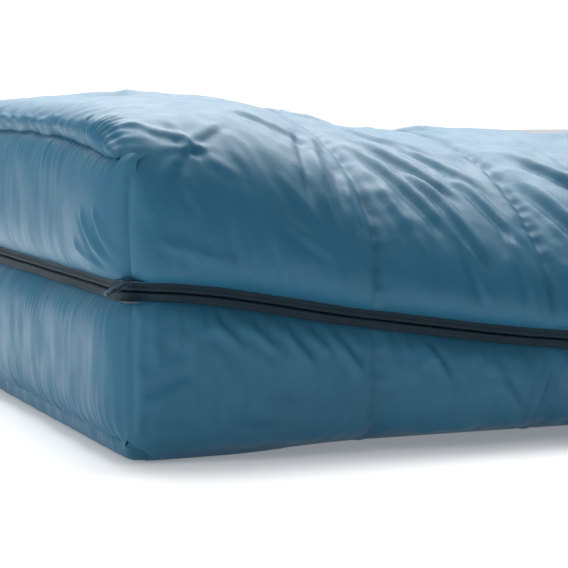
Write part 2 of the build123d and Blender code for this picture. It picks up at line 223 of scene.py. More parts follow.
def drape(start, live, pinned, extra_u, extra_v, steps, push=1.2e-5, hold=0.012, cap=0.010):
    """Cloth simulation on a grid.

    The cloth is cut larger than the filling it covers by extra_u and extra_v. Each step carries
    the points on, pushes them out along the cloth's normal, brings every link to its length,
    resists bending by a second difference, and draws the cloth back to the filling.
    """
    p = start.astype(np.float32).copy()
    home = p.copy()
    before = p.copy()
    free = np.where(pinned, 0.0, 1.0).astype(np.float32)
    out = grid_normals(home).astype(np.float32)
    groups = []
    for kind, first, second in link_sets(*p.shape[:2]):
        rest = np.linalg.norm(home[second] - home[first], axis=2)
        eu, ev = extra_u[first], extra_v[first]
        grow = {"u": 1 + eu, "v": 1 + ev, "d": 1 + 0.5 * (eu + ev)}[kind]
        groups.append((first, second, (rest * grow).astype(np.float32), 0.5 if kind == "d" else 0.9))
    inner = (live[1:-1, 1:-1] & live[2:, 1:-1] & live[:-2, 1:-1] & live[1:-1, 2:]
             & live[1:-1, :-2])
    move = (free * live)[..., None]
    for k in range(steps):
        drift = (p - before) * 0.86
        before = p.copy()
        p += drift * move
        if k % 4 == 0:
            n = grid_normals(p).astype(np.float32)
        p += n * push * move
        for first, second, rest, firmness in groups:
            links(p, live, free, first, second, rest, firmness)
        lap = np.zeros_like(p)
        lap[1:-1, 1:-1] = np.where(inner[..., None], 0.25 * (p[2:, 1:-1] + p[:-2, 1:-1]
                                   + p[1:-1, 2:] + p[1:-1, :-2]) - p[1:-1, 1:-1], 0.0)
        twice = np.zeros_like(p)
        twice[1:-1, 1:-1] = 0.25 * (lap[2:, 1:-1] + lap[:-2, 1:-1] + lap[1:-1, 2:]
                                    + lap[1:-1, :-2]) - lap[1:-1, 1:-1]
        p -= 0.14 * twice * move * inner_pad(inner, p)
        lift = np.einsum("ijk,ijk->ij", p - home, out)[..., None]
        p -= hold * lift * out * move
        away = p - home
        far = np.linalg.norm(away, axis=2, keepdims=True)
        p = home + away * np.minimum(1.0, cap / (far + 1e-9))
    return p.astype(float)


def inner_pad(inner, p):
    """The inner mask grown back to the grid's size."""
    full = np.zeros(p.shape[:2] + (1,), np.float32)
    full[1:-1, 1:-1, 0] = inner
    return full


def put_grid(name, p, live=None, uv=None, flip=False):
    """A mesh from a grid of points; cells with a missing corner are left out."""
    nu, nv = p.shape[:2]
    live = np.ones((nu, nv), bool) if live is None else live
    number = np.full((nu, nv), -1)
    number[live] = np.arange(live.sum())
    cell = live[:-1, :-1] & live[1:, :-1] & live[1:, 1:] & live[:-1, 1:]
    a, b = number[:-1, :-1][cell], number[1:, :-1][cell]
    c, d = number[1:, 1:][cell], number[:-1, 1:][cell]
    quads = np.stack([a, d, c, b] if flip else [a, b, c, d], axis=1)
    mesh = bpy.data.meshes.new(name)
    mesh.from_pydata([], [], [])
    verts = p[live]
    mesh.vertices.add(len(verts))
    mesh.vertices.foreach_set("co", verts.astype(np.float32).ravel())
    mesh.loops.add(quads.size)
    mesh.loops.foreach_set("vertex_index", quads.astype(np.int32).ravel())
    mesh.polygons.add(len(quads))
    mesh.polygons.foreach_set("loop_start", np.arange(0, quads.size, 4, dtype=np.int32))
    mesh.polygons.foreach_set("use_smooth", np.ones(len(quads), bool))
    mesh.update()
    mesh.validate()
    if uv is not None:
        layer = mesh.uv_layers.new(name="UVMap")
        flat = uv[live]
        layer.data.foreach_set("uv", flat[quads.ravel()].astype(np.float32).ravel())
    piece = bpy.data.objects.new(name, mesh)
    bpy.context.scene.collection.objects.link(piece)
    return piece


def finish_piece(piece, body, material, replaces=()):
    """Gives a piece its material, body, slot and the frame nodes it stands for."""
    piece.data.materials.clear()
    piece.data.materials.append(material)
    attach(piece, body)
    if replaces:
        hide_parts(*replaces)
    return piece


def coat(node, material):
    """Puts a material in every slot of a frame node, whose shape stays as it is."""
    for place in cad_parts[node].material_slots:
        place.material = material


# Shape of the quilt


def side_pull(u, w):
    """How the wall turns in to a foot corner seam: more at the zip, less above and below it.

    Returns the shift along X and the shift inwards along Y.
    """
    at_zip = np.exp(-w / 0.02)
    ring = CORNER - np.sqrt(np.maximum(CORNER**2 - np.maximum(CORNER - u - 0.0132, 0) ** 2, 0))
    shift = at_zip * 0.0132 * np.exp(-u / 0.03) + (1 - at_zip) * 0.006 * np.exp(-u / 0.02)
    inward = at_zip * ring + (1 - at_zip) * 0.009 * np.exp(-u / 0.011)
    return shift, inward


def upper_wall(u, fractions, inset):
    """Cover's cross-sections: a superellipse arch from the zip over the top to the fold.

    |y / half|^n + |rise / full rise|^n = 1, with n from the roundness keys.
    """
    half = HALF - inset
    turn = np.linspace(0, np.pi, 241)[None, :]
    x = np.maximum(u, 0.0)[:, None]
    n = keyed(x, ROUND_KEYS)
    near, far = keyed(x, ZIP_KEYS) + BAND_HALF, keyed(x, FOLD_KEYS) + 0.0006
    base = near + (far - near) * ease(turn / np.pi)
    rise = keyed(x, CROWN_KEYS) - inset - base
    y = -np.sign(np.cos(turn)) * half * np.abs(np.cos(turn)) ** (2 / n)
    z = base + rise * np.maximum(np.sin(turn), 0) ** (2 / n)
    dense = np.stack([x + 0 * y, y, z], axis=2)
    return resample(dense, fractions)


def lower_wall(u, fractions, inset):
    """Base's cross-sections: down the wall from the zip, a rounded hem, the floor, and up again.

    The path is two straight walls and a floor joined by quarter circles of the hem's radius.
    """
    x = np.maximum(u, 0.0)[:, None]
    half = HALF - inset
    hem = keyed(x, HEM_KEYS)
    near = keyed(x, ZIP_KEYS) - BAND_HALF - inset - 0.001
    far = keyed(x, FOLD_KEYS) - 0.0006 - inset - 0.001
    bend = hem * np.pi / 2
    floor = 2 * half - 2 * hem
    s = np.linspace(0, 1, 361)[None, :] * (near + far - 2 * hem + 2 * bend + floor)
    down = np.clip(s, 0, near - hem)
    one = np.clip(s - (near - hem), 0, bend) / hem
    along = np.clip(s - (near - hem) - bend, 0, floor)
    two = np.clip(s - (near - hem) - bend - floor, 0, bend) / hem
    up = np.clip(s - (near - hem) - 2 * bend - floor, 0, far - hem)
    y = -half + hem * (1 - np.cos(one)) + along + hem * np.sin(two)
    z = near - down - hem * np.sin(one) + hem * (1 - np.cos(two)) + up + inset + 0.001
    return resample(np.stack([x + 0 * y, y, z], axis=2), fractions)


COVER_FOLDS = (
    (0.026, 0.082, 0.082, 0.150, 0.006, 0.0028), (0.042, 0.157, 0.090, 0.117, 0.005, 0.0028),
    (0.034, 0.122, 0.097, 0.132, 0.005, 0.0024), (0.057, 0.182, 0.070, 0.102, 0.005, 0.0026),
    (0.008, 0.172, 0.068, 0.132, 0.006, 0.0024), (0.070, 0.132, 0.122, 0.182, 0.006, 0.0024),
    (0.050, 0.110, 0.075, 0.060, 0.005, 0.0018), (0.075, 0.120, 0.120, 0.100, 0.006, 0.0018),
    (0.225, 0.225, 0.192, 0.070, 0.010, 0.0055), (0.238, 0.150, 0.225, 0.060, 0.006, 0.003),
    (0.275, 0.230, 0.345, 0.060, 0.009, 0.006), (0.290, 0.280, 0.385, 0.110, 0.010, 0.006),
    (0.315, 0.200, 0.385, 0.035, 0.008, 0.0055), (0.335, 0.300, 0.420, 0.150, 0.009, 0.0055),
    (0.270, 0.160, 0.310, 0.030, 0.007, 0.004), (0.380, 0.190, 0.425, 0.070, 0.008, 0.005),
    (0.300, 0.350, 0.400, 0.230, 0.010, 0.005), (0.405, 0.100, 0.425, 0.015, 0.006, 0.004),
    (0.350, 0.080, 0.372, 0.012, 0.006, 0.0035), (0.460, 0.210, 0.520, 0.050, 0.010, 0.0055),
    (0.475, 0.280, 0.565, 0.130, 0.011, 0.006), (0.510, 0.220, 0.590, 0.060, 0.010, 0.005),
    (0.140, 0.250, 0.220, 0.180, 0.010, 0.0035), (0.150, 0.120, 0.200, 0.060, 0.008, 0.0025),
    (0.020, 0.040, 0.110, 0.018, 0.006, 0.002), (0.140, 0.075, 0.215, 0.040, 0.006, 0.0022),
)
BASE_FOLDS = (
    (0.080, 0.008, 0.115, 0.038, 0.005, 0.0028), (0.110, 0.006, 0.150, 0.034, 0.005, 0.003),
    (0.150, 0.004, 0.185, 0.042, 0.005, 0.0032), (0.180, 0.006, 0.205, 0.030, 0.004, 0.003),
    (0.200, 0.004, 0.240, 0.046, 0.005, 0.0032), (0.300, 0.004, 0.330, 0.040, 0.005, 0.003),
    (0.325, 0.004, 0.300, 0.035, 0.005, 0.003), (0.020, 0.100, 0.070, 0.070, 0.008, 0.0025),
    (0.280, 0.110, 0.380, 0.060, 0.011, 0.0035), (0.380, 0.030, 0.430, 0.090, 0.008, 0.003),
    (0.460, 0.100, 0.560, 0.040, 0.010, 0.003), (0.100, 0.120, 0.220, 0.110, 0.012, 0.0025),
)


def stray_folds(seed, count, u_range, w_range, lean):
    """Seeded drag folds for the rest of the cloth, leaning the same way as the placed ones."""
    rng = np.random.default_rng(seed)
    u = rng.uniform(*u_range, count)
    w = rng.uniform(*w_range, count)
    size = rng.uniform(0.06, 0.17, count)
    turn = lean + rng.normal(0, 0.35, count)
    wide = rng.uniform(0.009, 0.014, count)
    high = rng.uniform(0.003, 0.0065, count)
    return [(a, b, a + s * np.cos(t), b - s * np.sin(t), d, h)
            for a, b, s, t, d, h in zip(u, w, size, turn, wide, high)]


def lengthwise_grid(lip):
    """Grid positions along the quilt, closer together towards the foot."""
    return spacing((-lip, 0.0, 0.0029), (0.0, 0.56, 0.0029), (0.56, 0.72, 0.0055),
                   (0.72, LENGTH, 0.0092))


def crosswise_grid(near_run, whole):
    """Grid fractions across the quilt, closer together on the near side."""
    at = spacing((0.0, near_run, 0.0032), (near_run, near_run + 0.15, 0.0055),
                 (near_run + 0.15, whole, 0.0092))
    return at / whole


def shell_grid(upper, steps, sizes):
    """Points of the cover's or the base's outer cloth before and after it is draped.

    Columns run along the quilt and rows across it. The rows between the two foot corners carry
    on past the foot as a lip, down over the foot panel's top or up under its bottom.
    """
    lip = 0.034 if upper else 0.024
    u = lengthwise_grid(lip)
    wall = upper_wall if upper else lower_wall
    whole = 1.22 if upper else 0.98
    v = crosswise_grid(0.30 if upper else 0.19, whole)
    fractions = np.repeat(v[None, :], len(u), axis=0)
    p, arc = wall(u, fractions, 0.0)
    w = fractions * arc[:, None]
    w_far = arc[:, None] - w
    uu = np.repeat(u[:, None], len(v), axis=1)
    # corners
    for side, reach in ((-1, w), (1, w_far)):
        near = p[..., 1] * side > 0
        shift, inward = side_pull(np.maximum(uu, 0), reach)
        tall = ease((np.abs(p[..., 1]) - 0.30) / 0.08)
        p[..., 0] += np.where(near, shift * tall, 0)
        p[..., 1] -= np.where(near, side * inward * tall, 0)
    # lip past the foot
    at_foot = np.argmin(np.abs(u))
    height = p[at_foot, :, 2]
    if upper:
        lipped = height > TOP_SEAM + 0.002
        open_row = ease((height - TOP_SEAM - 0.002) / 0.018)
        seam_z = TOP_SEAM + 0.020 * (1 - (p[at_foot, :, 1] / HALF) ** 2)
    else:
        lipped = height < BOTTOM_SEAM - 0.002
        open_row = ease((BOTTOM_SEAM - 0.002 - height) / 0.012)
        seam_z = BOTTOM_SEAM + 0 * height
    reach = np.clip(-uu / lip, 0, 1)
    first = p[at_foot][None]
    beyond = uu < -1e-6
    seam = np.stack([0 * seam_z, p[at_foot, :, 1], seam_z], axis=1)[None]
    swell = 0.006 * np.sin(np.pi * np.clip(reach, 0, 1) ** 0.8) * (1 if upper else 0.55)
    lipped_p = first + (seam - first) * reach[..., None]
    lipped_p[..., 0] -= swell
    if not upper:
        quarter = reach * np.pi / 2
        lipped_p[..., 0] = 0.020 * (1 - np.sin(quarter)) * open_row[None, :] - 0.3 * swell
        lipped_p[..., 2] = first[..., 2] + (seam[..., 2] - first[..., 2]) * (1 - np.cos(quarter))
        p[..., 0] += 0.020 * np.exp(-np.maximum(uu, 0) / 0.03) * open_row[None, :]
        under = ease((np.abs(p[..., 1]) - 0.26) / 0.10) * ease((0.05 - p[..., 2]) / 0.04)
        p[..., 2] += 0.004 * ease((uu - 0.10) / 0.15) * under
    edge_in = ease((np.abs(lipped_p[..., 1]) - (HALF - 0.05)) / 0.05)
    lipped_p[..., 0] += 0.006 * edge_in * reach
    p = np.where(beyond[..., None], lipped_p, p)
    live = ~beyond | lipped[None, :]
    # chambers, folds and gathers
    n = grid_normals(p)
    if not upper:
        n = -n
    height = puff(np.maximum(uu, 0), QUILT_LINES, sizes.chamber_swell)
    at_edge = 1 - np.exp(-np.minimum(w, w_far) / 0.013)
    floor = ease((p[..., 2] - 0.004) / 0.03) if not upper else 1.0
    out = (height * at_edge + 0.010 * at_edge * np.exp(-np.minimum(w, w_far) / 0.10)) * floor
    calm = np.exp(-((uu - 0.03) / 0.05) ** 2)
    out = out - 0.004 * calm * at_edge * floor
    folds = list(COVER_FOLDS if upper else BASE_FOLDS)
    if upper:
        folds += stray_folds(5, 70, (0.62, 1.9), (0.02, 1.15), 0.95)
        folds += stray_folds(6, 14, (0.05, 0.55), (0.42, 1.15), 0.8)
    else:
        folds += stray_folds(7, 36, (0.55, 1.9), (0.01, 0.12), -0.5)
    wave = 0.72 * fold_lines(uu, w, folds)
    wave += 0.0016 * value_noise(uu, w, 0.045, 11) + 0.0008 * value_noise(uu, w, 0.018, 12)
    zip_side = 0.0013 * gathers(uu, w, 21, 0.0125, 0.016)
    fold_side = 0.0008 * gathers(uu, w_far, 22, 0.02, 0.02)
    wave += zip_side + fold_side
    for k, line in enumerate(QUILT_LINES[1:-1]):
        wave += 0.0010 * gathers(w, np.abs(uu - line), 30 + k, 0.021, 0.017)
    wave += 0.0020 * gathers(w, np.maximum(uu, 0), 50, 0.0105, 0.016)
    lean = uu + 0.42 * w
    streak = value_noise(lean, w - 0.4 * uu, 0.03, 13) * 0.5
    drawn = 1 - 2 * np.abs(value_noise(lean * 3.4 + streak * 0.02, (w - 0.42 * uu) * 0.8, 0.06, 14))
    body = ease((uu - 0.05) / 0.15)
    wave += (0.0006 + 0.0008 * body) * drawn * (0.5 + 0.5 * value_noise(uu, w, 0.11, 15))
    fine = 1 - 2 * np.abs(value_noise(lean * 2.6, (w - 0.42 * uu) * 0.9, 0.022, 16))
    wave += 0.0005 * fine
    lip_wave = gathers(p[..., 1], np.maximum(uu + lip, 0), 51, 0.0155, 0.022)
    wave += 0.0012 * lip_wave * lipped[None, :] * (uu < 0.05)
    out = out + wave * (0.35 + 0.65 * at_edge) * floor
    out = np.minimum(out, 0.003 + 0.07 * w_far)
    ramp = 1 - np.exp(-np.maximum(uu, 0) / 0.013)
    out = out * (open_row[None, :] + (1 - open_row[None, :]) * ramp)
    p = p + n * out[..., None]
    if not upper:
        p[..., 2] = np.maximum(p[..., 2], 0.0012)
    head = np.abs(uu - LENGTH) < 1e-6
    pinned = (w < 1e-6) | (w_far < 1e-6) | head | (uu < -lip + 1e-6)
    pinned |= np.min(np.abs(uu[..., None] - np.array(QUILT_LINES[1:-1])), axis=2) < 0.0018
    pinned |= (np.abs(uu) < 1e-6) & ~lipped[None, :]
    if not upper:
        pinned |= p[..., 2] < 0.003
    spare = 0.010 + 0.03 * np.exp(-w / 0.03)
    spare_v = 0.008 + 0.04 * np.exp(-np.maximum(uu + lip, 0) / 0.04)
    if steps:
        p = drape(p, live, pinned, spare, spare_v, steps)
    if not upper:
        p[..., 2] = np.maximum(p[..., 2], 0.0008)
    # turnings tucked in behind the foot panel, and at the lip and the zip
    behind = at_foot - 1
    closed = ~lipped
    sign = np.sign(p[at_foot, closed, 1])
    p[behind, closed] = p[at_foot, closed] + np.stack([0.003 + 0 * sign, -0.009 * sign, 0 * sign], 1)
    live[behind] = True
    turn = np.array([0.008, 0.0, -0.008 if upper else 0.008])
    p = np.concatenate([p[:1] + turn, p], axis=0)
    live = np.concatenate([live[:1], live], axis=0)
    uv = np.stack([uu, w], axis=2)
    uv = np.concatenate([uv[:1], uv], axis=0)
    zip_turn = np.array([0.0, 0.006, -0.002 if upper else 0.002])
    p = np.concatenate([p[:, :1] + zip_turn, p], axis=1)
    live = np.concatenate([live[:, :1], live], axis=1)
    uv = np.concatenate([uv[:, :1], uv], axis=1)
    return p + np.array([FOOT, 0.0, 0.0]), live, uv


def foot_grid(upper, steps):
    """Outer cloth of the foot panel's upper or lower half, bellied out between its seams.

    Columns run across the foot, rows from the seam at the cover or base to the zip.
    """
    y = spacing((-HALF + STAND_IN, 0.02, 0.0021), (0.02, HALF - STAND_IN, 0.005))
    tall = 0.116 if upper else 0.133
    s = spacing((0.0, tall, 0.0024)) / tall
    yy, ss = np.meshgrid(y, s, indexing="ij")
    across = yy / (HALF - STAND_IN)
    seam = TOP_SEAM + 0.020 * (1 - across**2) if upper else BOTTOM_SEAM + 0 * yy
    edge = ZIP_AT_FOOT + BAND_HALF if upper else ZIP_AT_FOOT - BAND_HALF
    z = seam + (edge - seam) * ss
    side = HALF - STAND_IN - np.abs(yy)
    at_zip = np.exp(-(1 - ss) * tall / 0.02)
    ring = CORNER - np.sqrt(np.maximum(CORNER**2 - np.maximum(CORNER - side - STAND_IN, 0)**2, 0))
    x = at_zip * ring + (1 - at_zip) * 0.006 * np.exp(-side / 0.011)
    yy2 = yy - np.sign(yy) * at_zip * 0.0047 * np.exp(-side / 0.03)
    p = np.stack([x, yy2, z], axis=2)
    top_away = ss * tall
    zip_away = (1 - ss) * tall
    belly = 0.017 * (1 - np.exp(-top_away / 0.014)) * (1 - np.exp(-zip_away / 0.012))
    belly *= 1 - 0.85 * np.exp(-side / 0.022)
    wave = 0.0018 * gathers(yy, top_away, 61 if upper else 62, 0.0135, 0.015)
    wave += 0.0008 * gathers(yy, top_away, 71 if upper else 72, 0.027, 0.035)
    wave += 0.0010 * gathers(yy, zip_away, 63 if upper else 64, 0.015, 0.010)
    if not upper:
        far_left = ease((yy + 0.33) / 0.08)
        wave += 0.0018 * far_left * gathers(yy, zip_away, 65, 0.014, 0.022)
    wave += 0.0013 * gathers(z, side, 66, 0.009, 0.012)
    wave += 0.0022 * value_noise(yy, z, 0.05, 67) + 0.0008 * value_noise(yy, 0.4 * z, 0.02, 68)
    folds = [(-0.30, 0.050, -0.385, 0.108, 0.006, 0.003), (-0.27, 0.085, -0.38, 0.113, 0.005, 0.003),
             (-0.345, 0.045, -0.388, 0.100, 0.005, 0.0025)]
    if upper:
        wave += fold_lines(yy, top_away, folds)
    p[..., 0] -= belly + wave * (1 - 0.8 * np.exp(-side / 0.006))
    pinned = (ss < 1e-6) | (ss > 1 - 1e-6) | (side < 1e-6)
    live = np.ones(p.shape[:2], bool)
    spare_u = 0.004 + 0.03 * np.exp(-top_away / 0.02) + 0.02 * np.exp(-zip_away / 0.015)
    spare_v = 0.006 + 0.01 * np.exp(-side / 0.03)
    if steps:
        p = drape(p, live, pinned, spare_u, spare_v, steps, cap=0.009)
    uv = np.stack([yy, z], axis=2)
    up = 1.0 if upper else -1.0
    p = np.concatenate([p[:, :1] + np.array([0.009, 0, 0.007 * up]), p,
                        p[:, -1:] + np.array([0.006, 0, -0.002 * up])], axis=1)
    p = np.concatenate([p[:1] + np.array([0.009, -0.004, 0]), p,
                        p[-1:] + np.array([0.009, 0.004, 0])], axis=0)
    uv = np.pad(uv, ((1, 1), (1, 1), (0, 0)), mode="edge")
    return p + np.array([FOOT, 0.0, 0.0]), np.ones(p.shape[:2], bool), uv


def lining_grid(upper):
    """Lining of one half: it starts at the shell's edge, crosses the wall, and follows inside.

    The foot end closes with the same cloth, drawn down or up to the zip.
    """
    inset = LINING_DEPTH
    u = spacing((inset, 0.3, 0.012), (0.3, LENGTH, 0.016))
    wall = upper_wall if upper else lower_wall
    v = np.linspace(0, 1, 90)
    p, arc = wall(u, np.repeat(v[None, :], len(u), axis=0), inset)
    outer, _ = wall(u, np.repeat(v[None, :], len(u), axis=0), 0.002)
    w = v[None, :] * arc[:, None]
    n = grid_normals(p) * (1 if upper else -1)
    uu = np.repeat(u[:, None], len(v), axis=1)
    swell = puff(uu, QUILT_LINES, 0.007) * (1 - np.exp(-np.minimum(w, arc[:, None] - w) / 0.02))
    swell += 0.0012 * value_noise(uu, w, 0.05, 71) + 0.001 * value_noise(uu, w, 0.02, 72)
    p = p - n * swell[..., None]
    edge = outer[:, :1].copy()
    last = outer[:, -1:].copy()
    p = np.concatenate([edge, 0.5 * (edge + p[:, :1]), p, 0.5 * (last + p[:, -1:]), last], axis=1)
    # the closed foot end, drawn to the zip's height
    z_zip = ZIP_AT_FOOT + (BAND_HALF if upper else -BAND_HALF)
    foot = p[0].copy()
    rows = [foot + (np.stack([foot[:, 0], foot[:, 1], np.full(len(foot), z_zip)], axis=1) - foot) * t
            for t in (0.25, 0.5, 0.75, 1.0)]
    lip = rows[-1].copy()
    lip[:, 0] = 0.002
    p = np.concatenate([np.stack([lip] + rows[::-1]), p], axis=0)
    uv = np.stack(np.meshgrid(np.arange(p.shape[0]) * 0.012, np.arange(p.shape[1]) * 0.012,
                              indexing="ij"), axis=2)
    return p + np.array([FOOT, 0.0, 0.0]), uv


def zip_route(inset, step):
    """The zip's line: along the near side from head to foot corner, round it and across the foot.

    Returns distances, points on the line and unit outward directions in plan.
    """
    reach = LENGTH - 0.003
    turn = CORNER - inset
    straight = reach - CORNER
    bend = turn * np.pi / 2
    across = 2 * HALF - ZIP_SHORT_OF_FAR - CORNER
    total = straight + bend + across
    s = np.linspace(0, total, int(total / step) + 1)
    t = np.clip((s - straight) / turn, 0, np.pi / 2)
    x = np.where(s < straight, reach - s, CORNER - turn * np.sin(t))
    y = -HALF + CORNER - turn * np.cos(t)
    y = np.where(s > straight + bend, -HALF + CORNER + s - straight - bend, y)
    x = np.where(s > straight + bend, inset, x)
    z = keyed(x, ZIP_KEYS)
    out = np.stack([-np.sin(t), -np.cos(t), 0 * t], axis=1)
    return s, np.stack([x + FOOT, y, z], axis=1), out


def tape_grid(side, reach_main, reach_foot):
    """One zip tape: a strip beside the zip's line, its inner edge rolled over the coil."""
    s, line, out = zip_route(0.0014, 0.0022)
    keep = (line[:, 0] < FOOT + reach_main) & ~((s > 1.9) & (line[:, 1] > reach_foot))
    s, line, out = s[keep], line[keep], out[keep]
    t = np.array([0.00045, 0.0009, 0.0018, 0.003, 0.0042, 0.0052, 0.0075, 0.0095, 0.0125, 0.016])
    bow = np.array([-0.0012, -0.0001, 0.0007, 0.0009, 0.0006, 0.0, 0.0, -0.0002, -0.0008, -0.0015])
    slack = 0.0005 * value_noise(s, 0 * s, 0.03, 81)
    p = line[:, None, :] + side * t[None, :, None] * np.array([0, 0, 1.0])
    p = p + out[:, None, :] * (bow[None, :] + slack[:, None])[..., None]
    uv = np.stack(np.broadcast_arrays(s[:, None], side * t[None, :]), axis=2)
    return p, uv


def coil_mesh(name, side, reach_main, reach_foot):
    """Wound coil: each turn is a bent tube of six-sided section, repeated along the zip's line."""
    s, line, out = zip_route(0.003, 0.0016)
    keep = (line[:, 0] < FOOT + reach_main) & ~((s > 1.9) & (line[:, 1] > reach_foot))
    line, out = line[keep], out[keep]
    ahead = np.gradient(line, axis=0)
    ahead /= np.linalg.norm(ahead, axis=1, keepdims=True)
    turn = np.linspace(0, 2 * np.pi, 9)[:-1]
    across = 0.0021 + 0.0016 * np.cos(turn)
    deep = -0.0010 * np.sin(turn)
    wire = 0.00042
    ring = np.linspace(0, 2 * np.pi, 5)[:-1]
    up = np.array([0, 0, 1.0])
    centre = (line[:, None, :] + side * across[None, :, None] * up
              + deep[None, :, None] * out[:, None, :]
              + (turn / (2 * np.pi) - 0.5)[None, :, None] * 0.0007 * ahead[:, None, :])
    radial = (side * np.cos(turn)[None, :, None] * up
              - np.sin(turn)[None, :, None] * out[:, None, :])
    p = (centre[:, :, None, :] + wire * (np.cos(ring)[None, None, :, None] * radial[:, :, None, :]
         + np.sin(ring)[None, None, :, None] * ahead[:, None, None, :]))
    count, turns, sides = p.shape[:3]
    number = np.arange(count * turns * sides).reshape(count, turns, sides)
    nxt = np.roll(number, -1, axis=1)
    quads = np.stack([number, np.roll(number, -1, axis=2), np.roll(nxt, -1, axis=2), nxt], axis=3)
    mesh = bpy.data.meshes.new(name)
    mesh.from_pydata(p.reshape(-1, 3).tolist(), [], quads.reshape(-1, 4).tolist())
    mesh.polygons.foreach_set("use_smooth", np.ones(len(mesh.polygons), bool))
    piece = bpy.data.objects.new(name, mesh)
    bpy.context.scene.collection.objects.link(piece)
    return piece


def stitch_row(name, s_line, points, out, pitch, lift):
    """A row of stitches: short flattened six-faced beads, one each pitch along a line."""
    ahead = np.gradient(points, axis=0)
    ahead /= np.linalg.norm(ahead, axis=1, keepdims=True)
    at = np.arange(0, s_line[-1], pitch)
    c = np.stack([np.interp(at, s_line, points[:, k]) for k in range(3)], axis=1)
    a = np.stack([np.interp(at, s_line, ahead[:, k]) for k in range(3)], axis=1)
    o = np.stack([np.interp(at, s_line, out[:, k]) for k in range(3)], axis=1)
    side = np.cross(a, o)
    half, wide, high = 0.36 * pitch, 0.00035, 0.00035
    shape = np.array([(-1, 0, 0), (-0.6, 1, 0.2), (-0.6, -1, 0.2), (-0.5, 0, 1),
                      (0.6, 1, 0.2), (0.6, -1, 0.2), (0.5, 0, 1), (1, 0, 0)])
    p = (c[:, None, :] + lift * o[:, None, :] + half * shape[None, :, :1] * a[:, None, :]
         + wide * shape[None, :, 1:2] * side[:, None, :] + high * shape[None, :, 2:] * o[:, None, :])
    faces = np.array([(0, 3, 1), (0, 2, 3), (1, 3, 6), (1, 6, 4), (3, 2, 5), (3, 5, 6),
                      (4, 6, 7), (6, 5, 7)])
    every = (faces[None] + 8 * np.arange(len(at))[:, None, None]).reshape(-1, 3)
    mesh = bpy.data.meshes.new(name)
    mesh.from_pydata(p.reshape(-1, 3).tolist(), [], every.tolist())
    piece = bpy.data.objects.new(name, mesh)
    bpy.context.scene.collection.objects.link(piece)
    return piece


# Materials


def node_group(name, inputs, outputs):
    """A new shader node group with the named sockets; returns it with its two end nodes."""
    group = bpy.data.node_groups.new(name, "ShaderNodeTree")
    for label, kind, value in inputs:
        socket = group.interface.new_socket(label, in_out="INPUT", socket_type=kind)
        if value is not None:
            socket.default_value = value
    for label, kind in outputs:
        group.interface.new_socket(label, in_out="OUTPUT", socket_type=kind)
    return group, group.nodes.new("NodeGroupInput"), group.nodes.new("NodeGroupOutput")


def maths(tree, operation, a, b=None):
    """A Math node with its inputs linked or set."""
    node = tree.nodes.new("ShaderNodeMath")
    node.operation = operation
    for slot_number, value in enumerate((a, b)):
        if value is None:
            continue
        if isinstance(value, (int, float)):
            node.inputs[slot_number].default_value = value
        else:
            tree.links.new(value, node.inputs[slot_number])
    return node.outputs[0]


def noise(tree, vector, scale, detail, rough=0.55):
    """A Noise Texture on the given coordinates."""
    node = tree.nodes.new("ShaderNodeTexNoise")
    node.inputs["Scale"].default_value = scale
    node.inputs["Detail"].default_value = detail
    node.inputs["Roughness"].default_value = rough
    tree.links.new(vector, node.inputs["Vector"])
    return node.outputs["Fac"]


def weave_group():
    """Woven cloth on a piece's own UV in metres: thread grid, crinkle and slow shade change."""
    group, begin, end = node_group("Woven cloth", [
        ("Coordinates", "NodeSocketVector", None), ("Threads per metre", "NodeSocketFloat", 2400.0),
        ("Crinkle", "NodeSocketFloat", 0.5), ("Colour", "NodeSocketColor", (0.1, 0.2, 0.3, 1)),
        ("Shade change", "NodeSocketFloat", 0.12)],
        [("Height", "NodeSocketFloat"), ("Colour", "NodeSocketColor"), ("Worn", "NodeSocketFloat")])
    t = group
    where = begin.outputs["Coordinates"]
    split = t.nodes.new("ShaderNodeSeparateXYZ")
    t.links.new(where, split.inputs[0])
    waves = []
    for axis in ("X", "Y"):
        turned = maths(t, "MULTIPLY", split.outputs[axis], begin.outputs["Threads per metre"])
        waves.append(maths(t, "SINE", turned))
    threads = maths(t, "MULTIPLY", maths(t, "MULTIPLY", waves[0], waves[1]), 0.05)
    fine = noise(t, where, 260.0, 4.0)
    broad = noise(t, where, 70.0, 5.0, 0.6)
    ridge = maths(t, "ABSOLUTE", maths(t, "SUBTRACT", broad, 0.5))
    creases = maths(t, "SUBTRACT", 0.5, maths(t, "MULTIPLY", ridge, 3.0))
    mixed = maths(t, "ADD", maths(t, "MULTIPLY", fine, 0.35), maths(t, "MULTIPLY", creases, 0.5))
    rumple = maths(t, "MULTIPLY", mixed, begin.outputs["Crinkle"])
    t.links.new(maths(t, "ADD", threads, rumple), end.inputs["Height"])
    slow = noise(t, where, 9.0, 3.0)
    shade = maths(t, "MULTIPLY", maths(t, "SUBTRACT", slow, 0.5), begin.outputs["Shade change"])
    bright = maths(t, "ADD", maths(t, "ADD", 1.0, maths(t, "MULTIPLY", shade, 2.0)),
                   maths(t, "MULTIPLY", maths(t, "SUBTRACT", fine, 0.5), 0.10))
    tint = t.nodes.new("ShaderNodeHueSaturation")
    t.links.new(begin.outputs["Colour"], tint.inputs["Color"])
    t.links.new(bright, tint.inputs["Value"])
    t.links.new(tint.outputs["Color"], end.inputs["Colour"])
    t.links.new(noise(t, where, 25.0, 3.0), end.inputs["Worn"])
    return group


